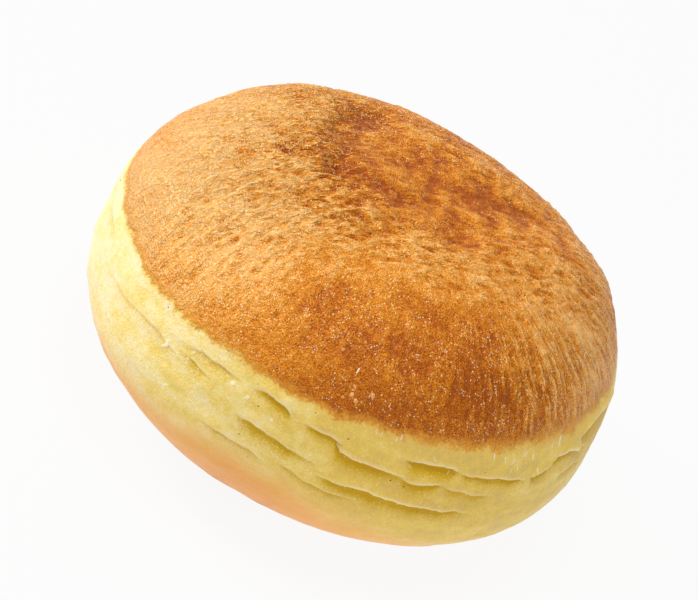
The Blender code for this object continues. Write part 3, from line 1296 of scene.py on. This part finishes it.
    def bump(self, height: bpy.types.NodeSocket, strength: float = 1.0) -> bpy.types.NodeSocket:
        """A normal from a height in millimetres."""
        node = self._tree.nodes.new("ShaderNodeBump")
        node.inputs["Strength"].default_value = strength
        node.inputs["Distance"].default_value = MM
        self.feed(node.inputs["Height"], height)
        return node.outputs["Normal"]


@dataclass(frozen=True)
class CrustFinish:
    """Browned fried crust: its colours from pale to dark, its fine grain, and its greasy glints, which are
    painted into the colour as highlights.
    """

    palest: Colour = Colour(252, 186, 102)
    pale: Colour = Colour(242, 162, 60)
    middle: Colour = Colour(229, 146, 30)
    dark: Colour = Colour(212, 118, 2)
    darkest: Colour = Colour(168, 78, 0)
    # The colour of the glints painted in as highlights.
    painted_glint: Colour = Colour(255, 228, 178)
    roughness: tuple[float, float] = (0.3, 0.46)
    glint_roughness: float = 0.2
    bead_size: float = 0.36
    bead_height: float = 0.14
    glint_size: float = 0.32
    grain_height: float = 0.34
    streak_height: float = 0.5
    slant_direction: float = 44.0
    slant_length: float = 2.6
    slant_width: float = 0.7
    streak_radius: float = 32.0
    streak_width: float = 0.8
    streak_length: float = 4.0


@dataclass(frozen=True)
class WaistFinish:
    """Pale dough between the crusts: its creams and yellows, the gold painted deep in its folds as their
    shade, the pale highlight painted on the folds' lips, and painted glints.
    """

    cream: Colour = Colour(252, 233, 182)
    straw: Colour = Colour(250, 222, 134)
    yellow: Colour = Colour(242, 206, 96)
    # Tan, reached on the front and right, is partly painted shade.
    tan: Colour = Colour(228, 192, 104)
    # Painted shade deep in the folds.
    fold: Colour = Colour(222, 176, 0)
    # Painted highlight on the folds' lips.
    rim: Colour = Colour(255, 236, 194)
    # The colour of the glints painted in as highlights.
    painted_glint: Colour = Colour(255, 244, 214)
    roughness: tuple[float, float] = (0.36, 0.54)


@dataclass(frozen=True)
class BaseFinish:
    """The browned base: peach at its soft edge, then orange and rose, and brown on the foot."""

    peach: Colour = Colour(253, 214, 144)
    orange: Colour = Colour(250, 184, 98)
    rose: Colour = Colour(244, 168, 96)
    foot: Colour = Colour(210, 130, 60)


@dataclass(frozen=True)
class EdgeFinish:
    """The narrow band where the dome's crust fades to the pale waist."""

    straw: Colour = Colour(244, 200, 96)
    honey: Colour = Colour(232, 158, 50)


@dataclass
class SkinFinish:
    """The skin's one material, which runs from crust to pale dough and back to crust."""

    crust: CrustFinish = CrustFinish()
    waist: WaistFinish = WaistFinish()
    base: BaseFinish = BaseFinish()
    edge: EdgeFinish = EdgeFinish()

    def make(self) -> bpy.types.Material:
        """Builds the material's nodes.

        Returns:
            The finished material.
        """
        bench = Bench("fried_dough_skin")
        where = bench.places()
        ragged = bench.weighted(
            (bench.noise(where, 2.0, 3.0, 0.55), 2.0), (bench.noise(where, 0.5, 2.0), 1.6)
        )
        above = bench.maths("ADD", bench.mark(Mark.ABOVE_EDGE), bench.maths("SUBTRACT", ragged, 1.8))
        above_share = bench.maths("DIVIDE", above, bench.mark(Mark.EDGE_WIDTH))
        on_crust = bench.span(above_share, -1.0, 1.4)
        below = bench.mark(Mark.BELOW_EDGE)
        on_base = bench.span(below, -1.0, 2.2)

        centre, chance = bench.cells(where, self.crust.bead_size)
        bead = bench.span(centre, 0.6, 0.0)
        fine = bench.noise(where, 0.8, 3.0, 0.6)
        ridges = self._ridges(bench)
        # The crust's browning, with painted shade and light mixed in.
        brown = self._browning_and_shade(bench, where, fine, ridges)
        # Painted highlights: tiny glints laid into the crust's colour.
        glints = self._painted_glints(bench, where, ridges)
        crust_colour = self._crust_colour(bench, brown, glints)
        waist_colour = self._waist_colour(bench, where)
        base_colour = self._base_colour(bench, where, below)
        colour = bench.mix(on_base, waist_colour, base_colour)
        colour = self._edged(bench, above_share, colour, crust_colour)

        uneven = bench.noise(where, 4.0, 3.0, 0.6)
        crust_rough = bench.between(uneven, *self.crust.roughness)
        waist_rough = bench.between(uneven, *self.waist.roughness)
        crust_rough = bench.between(glints, crust_rough, self.crust.glint_roughness)
        crust_height = bench.weighted(
            (bench.maths("MULTIPLY", bead, bench.maths("ADD", chance, 0.3)), self.crust.bead_height),
            (fine, self.crust.grain_height),
            (ridges, self.crust.streak_height),
        )
        waist_height = bench.weighted(
            (bench.noise(where, 1.0, 3.0, 0.6), 0.2),
            (bench.noise(where, 0.3, 1.0), 0.08),
        )
        shader = bench.shader
        bench.feed(shader.inputs["Base Color"], colour)
        bench.feed(shader.inputs["Roughness"], bench.between(on_crust, waist_rough, crust_rough))
        bench.feed(shader.inputs["Normal"], bench.bump(bench.between(on_crust, waist_height, crust_height)))
        shader.inputs["IOR"].default_value = 1.48
        shader.inputs["Specular IOR Level"].default_value = 0.22
        shader.inputs["Subsurface Weight"].default_value = 0.1
        shader.inputs["Subsurface Radius"].default_value = (1.0, 0.55, 0.2)
        shader.inputs["Subsurface Scale"].default_value = 1.5 * MM
        return bench.material

    def _ridges(self, bench: Bench) -> bpy.types.NodeSocket:
        """Fine ridges, slanting on the left of the dome and running up it near the rim."""
        finish = self.crust
        slanted = bench.noise(
            bench.slanted(finish.slant_direction, finish.slant_length, finish.slant_width), 1.0, 3.0, 0.6
        )
        slanted = bench.maths("MULTIPLY", bench.span(slanted, 0.36, 0.62), bench.mark(Mark.SLANTING))
        upright = bench.span(self._streaks(bench), 0.36, 0.62)
        upright = bench.maths("MULTIPLY", upright, bench.mark(Mark.STREAKING))
        return bench.maths("MAXIMUM", slanted, upright)

    def _streaks(self, bench: Bench) -> bpy.types.NodeSocket:
        """Noise drawn out from the dome's middle to its rim."""
        finish = self.crust
        flat = bench.places((1, 1, 0))
        closeness = finish.streak_radius / finish.streak_width
        around = bench.vector("SCALE", bench.vector("NORMALIZE", flat), closeness)
        up = bench.places((0, 0, 1 / finish.streak_length))
        return bench.noise(bench.vector("ADD", around, up), 1.0, 2.0)

    @staticmethod
    def _browning_and_shade(
        bench: Bench,
        where: bpy.types.NodeSocket,
        fine: bpy.types.NodeSocket,
        ridges: bpy.types.NodeSocket,
    ) -> bpy.types.NodeSocket:
        """How browned the dome is, from 0 to 1, with painted shade and light mixed in: darker in its hollows,
        pits and grooves, and lighter on its ridges, its raised grain and its painted sheen.
        """
        return bench.weighted(
            (bench.mark(Mark.BROWNING_AND_SHADE), 1.0),
            (bench.noise(where, 7.0, 3.0), 0.5),
            (bench.noise(where, 1.8, 3.0, 0.6), 0.36),
            # Painted shade: darker in the grooves of the dome's relief, and lighter on its raised parts.
            (bench.mark(Mark.RELIEF), -1.1),
            # Painted highlights: lighter on the raised fine grain and on the ridges.
            (fine, -0.7),
            (ridges, -0.46),
            (bench.span(bench.noise(where, 0.2, 1.0), 0.3, 0.7), 0.6),
            # Painted sheen: paler where the sheen lies.
            (bench.mark(Mark.PAINTED_SHEEN), -0.3),
        )

    def _painted_glints(
        self, bench: Bench, where: bpy.types.NodeSocket, ridges: bpy.types.NodeSocket
    ) -> bpy.types.NodeSocket:
        """Tiny greasy glints painted into the colour as highlights, crowded where the painted sheen lies and
        along the ridges.
        """
        shine = bench.span(bench.noise(where, 2.4, 2.0), 0.35, 0.65)
        density = bench.weighted(
            (bench.mark(Mark.PAINTED_SHEEN), 0.6), (ridges, 0.34), (shine, 0.2), (bench.mark(Mark.FEWER_GLINTS), -0.1)
        )
        centre, luck = bench.cells(where, self.crust.glint_size)
        spare = bench.maths("SUBTRACT", bench.maths("ADD", luck, density), 0.96)
        return bench.maths("MULTIPLY", bench.span(spare, 0.0, 0.12), bench.span(centre, 0.52, 0.2))

    def _crust_colour(
        self, bench: Bench, brown: bpy.types.NodeSocket, glints: bpy.types.NodeSocket
    ) -> bpy.types.NodeSocket:
        """The dome's colours from its browning and painted shade, with the painted glints laid over them as
        highlights.
        """
        finish = self.crust
        stops = (
            (0.0, finish.palest),
            (0.16, finish.pale),
            (0.34, finish.middle),
            (0.58, finish.dark),
            (0.86, finish.darkest),
        )
        colour = bench.ramp(brown, stops)
        return bench.mix(bench.maths("MULTIPLY", glints, 0.9), colour, finish.painted_glint)

    def _waist_colour(self, bench: Bench, where: bpy.types.NodeSocket) -> bpy.types.NodeSocket:
        """The pale dough's colours, with painted light and shade in its tone, painted shade deep in its
        folds, a painted highlight on the folds' lips and painted glints.
        """
        finish = self.waist
        layered = bench.places((1, 1, 2.0))
        fuzz = bench.span(bench.noise(where, 0.3, 2.0, 0.6), 0.3, 0.7)
        # The tone mark brings painted light and shade: paler on the left, deeper on the front and right.
        tone = bench.weighted(
            (bench.mark(Mark.TONE_AND_SHADE), 1.0),
            (bench.span(bench.noise(layered, 6.0, 3.0), 0.3, 0.7), 0.3),
            (bench.span(bench.noise(where, 1.5, 3.0, 0.6), 0.3, 0.7), 0.2),
            (fuzz, 0.24),
        )
        tone = bench.maths("SUBTRACT", tone, 0.36)
        stops = ((0.0, finish.cream), (0.28, finish.straw), (0.56, finish.yellow), (0.86, finish.tan))
        colour = bench.ramp(tone, stops)
        # Painted shade: deep gold in the hollow under each fold's lip.
        uneven = bench.maths("MULTIPLY", bench.mark(Mark.FOLD), bench.span(fuzz, -1.0, 1.0, 1.5))
        colour = bench.mix(bench.span(uneven, 0.0, 0.5, 0.95), colour, finish.fold)
        # Painted highlights: sparse tiny glints.
        centre, chance = bench.cells(where, 0.5)
        clustered = bench.maths("ADD", chance, bench.span(bench.noise(where, 3.0, 2.0), 0.4, 0.65, 0.12))
        glints = bench.maths("MULTIPLY", bench.span(clustered, 0.88, 1.04), bench.span(centre, 0.36, 0.12))
        colour = bench.mix(bench.maths("MULTIPLY", glints, 0.6), colour, finish.painted_glint)
        # Painted highlight: a pale line along each fold's lip.
        return bench.mix(bench.maths("MULTIPLY", bench.mark(Mark.LIP_HIGHLIGHT), 0.65), colour, finish.rim)

    def _base_colour(
        self, bench: Bench, where: bpy.types.NodeSocket, below: bpy.types.NodeSocket
    ) -> bpy.types.NodeSocket:
        """The browned base's colours, deeper towards the foot."""
        finish = self.base
        depth = bench.weighted(
            (below, 0.12), (bench.noise(where, 4.0, 3.0), 0.3), (bench.noise(where, 0.8, 3.0, 0.6), 0.25)
        )
        stops = ((0.15, finish.peach), (0.45, finish.orange), (0.78, finish.rose), (1.0, finish.foot))
        return bench.ramp(depth, stops)

    def _edged(
        self,
        bench: Bench,
        above: bpy.types.NodeSocket,
        pale: bpy.types.NodeSocket,
        crust: bpy.types.NodeSocket,
    ) -> bpy.types.NodeSocket:
        """The pale and browned colours joined across the crust's edge."""
        finish = self.edge
        colour = bench.mix(bench.span(above, -1.8, -0.2, 0.8), pale, finish.straw)
        colour = bench.mix(bench.span(above, -0.9, 0.5), colour, finish.honey)
        return bench.mix(bench.span(above, -0.1, 2.2), colour, crust)


@dataclass(frozen=True)
class Lamp:
    """A soft square lamp: where it hangs from the doughnut, how wide it is and how strong."""

    name: str
    azimuth: float
    elevation: float
    distance: float
    width: float
    watts: float


@dataclass
class Studio:
    """The plain pale floor, the white surroundings, the soft lamps and the camera."""

    middle_height: float
    lamps: tuple[Lamp, ...] = (
        Lamp("key", 175.0, 33.0, 900.0, 300.0, 5.1),
        Lamp("top", -100.0, 74.0, 900.0, 400.0, 3.2),
        Lamp("fill", -52.0, 14.0, 1000.0, 800.0, 2.2),
    )
    bright_side: tuple[float, float, float] = (-0.55, 0.7, 0.35)
    bright_light: float = 0.72
    dim_light: float = 0.1
    dim_from: float = -0.45
    backdrop_light: float = 0.98
    floor_light: float = 0.92
    floor_width: float = 6000.0
    floor_gap: float = 0.1
    floor_shade: float = 0.05
    floor_roughness: float = 0.9
    camera_distance: float = 600.0
    camera_elevation: float = 32.1
    camera_roll: float = 27.3
    aim_left: float = 1.0
    aim_up: float = 1.8
    lens: float = 185.0

    def build(self) -> None:
        """Makes the whole studio."""
        self._floor()
        self._surround()
        for lamp in self.lamps:
            self._hang(lamp)
        self._camera()
        settings = bpy.context.scene.view_settings
        settings.view_transform = "Standard"

    def _floor(self) -> None:
        """Lays the floor just under the foot."""
        mesh = bpy.data.meshes.new("floor")
        work = bmesh.new()
        bmesh.ops.create_grid(work, x_segments=4, y_segments=4, size=self.floor_width / 2 * MM)
        work.to_mesh(mesh)
        work.free()
        floor = bpy.data.objects.new("floor", mesh)
        floor.location.z = -self.floor_gap * MM
        bpy.context.scene.collection.objects.link(floor)
        bench = Bench("floor_paint")
        bench.shader.inputs["Base Color"].default_value = (*[self.floor_shade] * 3, 1.0)
        bench.shader.inputs["Roughness"].default_value = self.floor_roughness
        bench.shader.inputs["Specular IOR Level"].default_value = 0.0
        bench.shader.inputs["Emission Color"].default_value = (1.0, 1.0, 1.0, 1.0)
        bench.shader.inputs["Emission Strength"].default_value = self.floor_light
        mesh.materials.append(bench.material)

    def _surround(self) -> None:
        """Makes the surroundings white: brighter behind on the left, and dimmer in front."""
        world = bpy.data.worlds.new("surroundings")
        world.use_nodes = True
        tree = world.node_tree
        sky = tree.nodes["Background"]
        sky.inputs["Color"].default_value = (1.0, 1.0, 1.0, 1.0)
        way = tree.nodes.new("ShaderNodeTexCoord")
        facing = tree.nodes.new("ShaderNodeVectorMath")
        facing.operation = "DOT_PRODUCT"
        facing.inputs[1].default_value = Vector(self.bright_side).normalized()
        tree.links.new(way.outputs["Generated"], facing.inputs[0])
        light = tree.nodes.new("ShaderNodeMapRange")
        light.interpolation_type = "SMOOTHSTEP"
        light.inputs["From Min"].default_value = self.dim_from
        light.inputs["To Min"].default_value = self.dim_light
        light.inputs["To Max"].default_value = self.bright_light
        tree.links.new(facing.outputs["Value"], light.inputs["Value"])
        path = tree.nodes.new("ShaderNodeLightPath")
        seen = tree.nodes.new("ShaderNodeMix")
        tree.links.new(path.outputs["Is Camera Ray"], seen.inputs[0])
        tree.links.new(light.outputs["Result"], seen.inputs[2])
        seen.inputs[3].default_value = self.backdrop_light
        tree.links.new(seen.outputs[0], sky.inputs["Strength"])
        bpy.context.scene.world = world

    def _hang(self, lamp: Lamp) -> None:
        """Hangs one lamp, facing the doughnut."""
        turn, rise = math.radians(lamp.azimuth), math.radians(lamp.elevation)
        away = Vector((math.cos(turn) * math.cos(rise), math.sin(turn) * math.cos(rise), math.sin(rise)))
        light = bpy.data.lights.new(lamp.name, "AREA")
        light.energy = lamp.watts
        light.size = lamp.width * MM
        hung = bpy.data.objects.new(lamp.name, light)
        hung.location = Vector((0, 0, self.middle_height * MM)) + away * lamp.distance * MM
        hung.visible_camera = False
        hung.rotation_mode = "QUATERNION"
        hung.rotation_quaternion = away.to_track_quat("Z", "Y")
        bpy.context.scene.collection.objects.link(hung)

    def _camera(self) -> None:
        """Sets the camera at the front, above and rolled."""
        rise, roll = math.radians(self.camera_elevation), math.radians(self.camera_roll)
        forward = Vector((0, math.cos(rise), -math.sin(rise)))
        level = Vector((1, 0, 0))
        upright = level.cross(forward)
        right = level * math.cos(roll) + upright * math.sin(roll)
        up = upright * math.cos(roll) - level * math.sin(roll)
        middle = Vector((0, 0, self.middle_height))
        place = (middle - forward * self.camera_distance - right * self.aim_left + up * self.aim_up) * MM
        data = bpy.data.cameras.new("camera")
        data.lens = self.lens
        data.sensor_width = 36.0
        data.clip_start, data.clip_end = 0.01, 20.0
        camera = bpy.data.objects.new("camera", data)
        camera.matrix_world = Matrix.Translation(place) @ Matrix((right, up, -forward)).transposed().to_4x4()
        bpy.context.scene.collection.objects.link(camera)
        bpy.context.scene.camera = camera


def keep(piece: bpy.types.Object, *nodes: str) -> None:
    """Makes a finished piece part of the doughnut, and reports it.

    Args:
        piece: the piece, in place.
        nodes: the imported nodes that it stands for.
    """
    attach(piece, BODY)
    if nodes:
        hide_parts(*nodes)
    LOG.info("%s: %d faces", piece.name, len(piece.data.polygons))


def main() -> None:
    """Builds the doughnut's pieces and its studio."""
    logging.basicConfig(level=logging.INFO, format="%(message)s")
    low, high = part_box(NODE)
    size = (high - low) / MM
    profile = SkinProfile(radius=(size.x / 2 + size.y / 2) / 2, height=size.z)
    studio = Studio(middle_height=size.z / 2)
    studio.build()

    skin = DoughSkin(profile).build()
    skin.data.materials.append(SkinFinish().make())
    keep(skin, NODE)
    seats = Seats(skin)
    for bits in all_bits():
        keep(bits.build(seats))


if __name__ == "__main__":
    main()
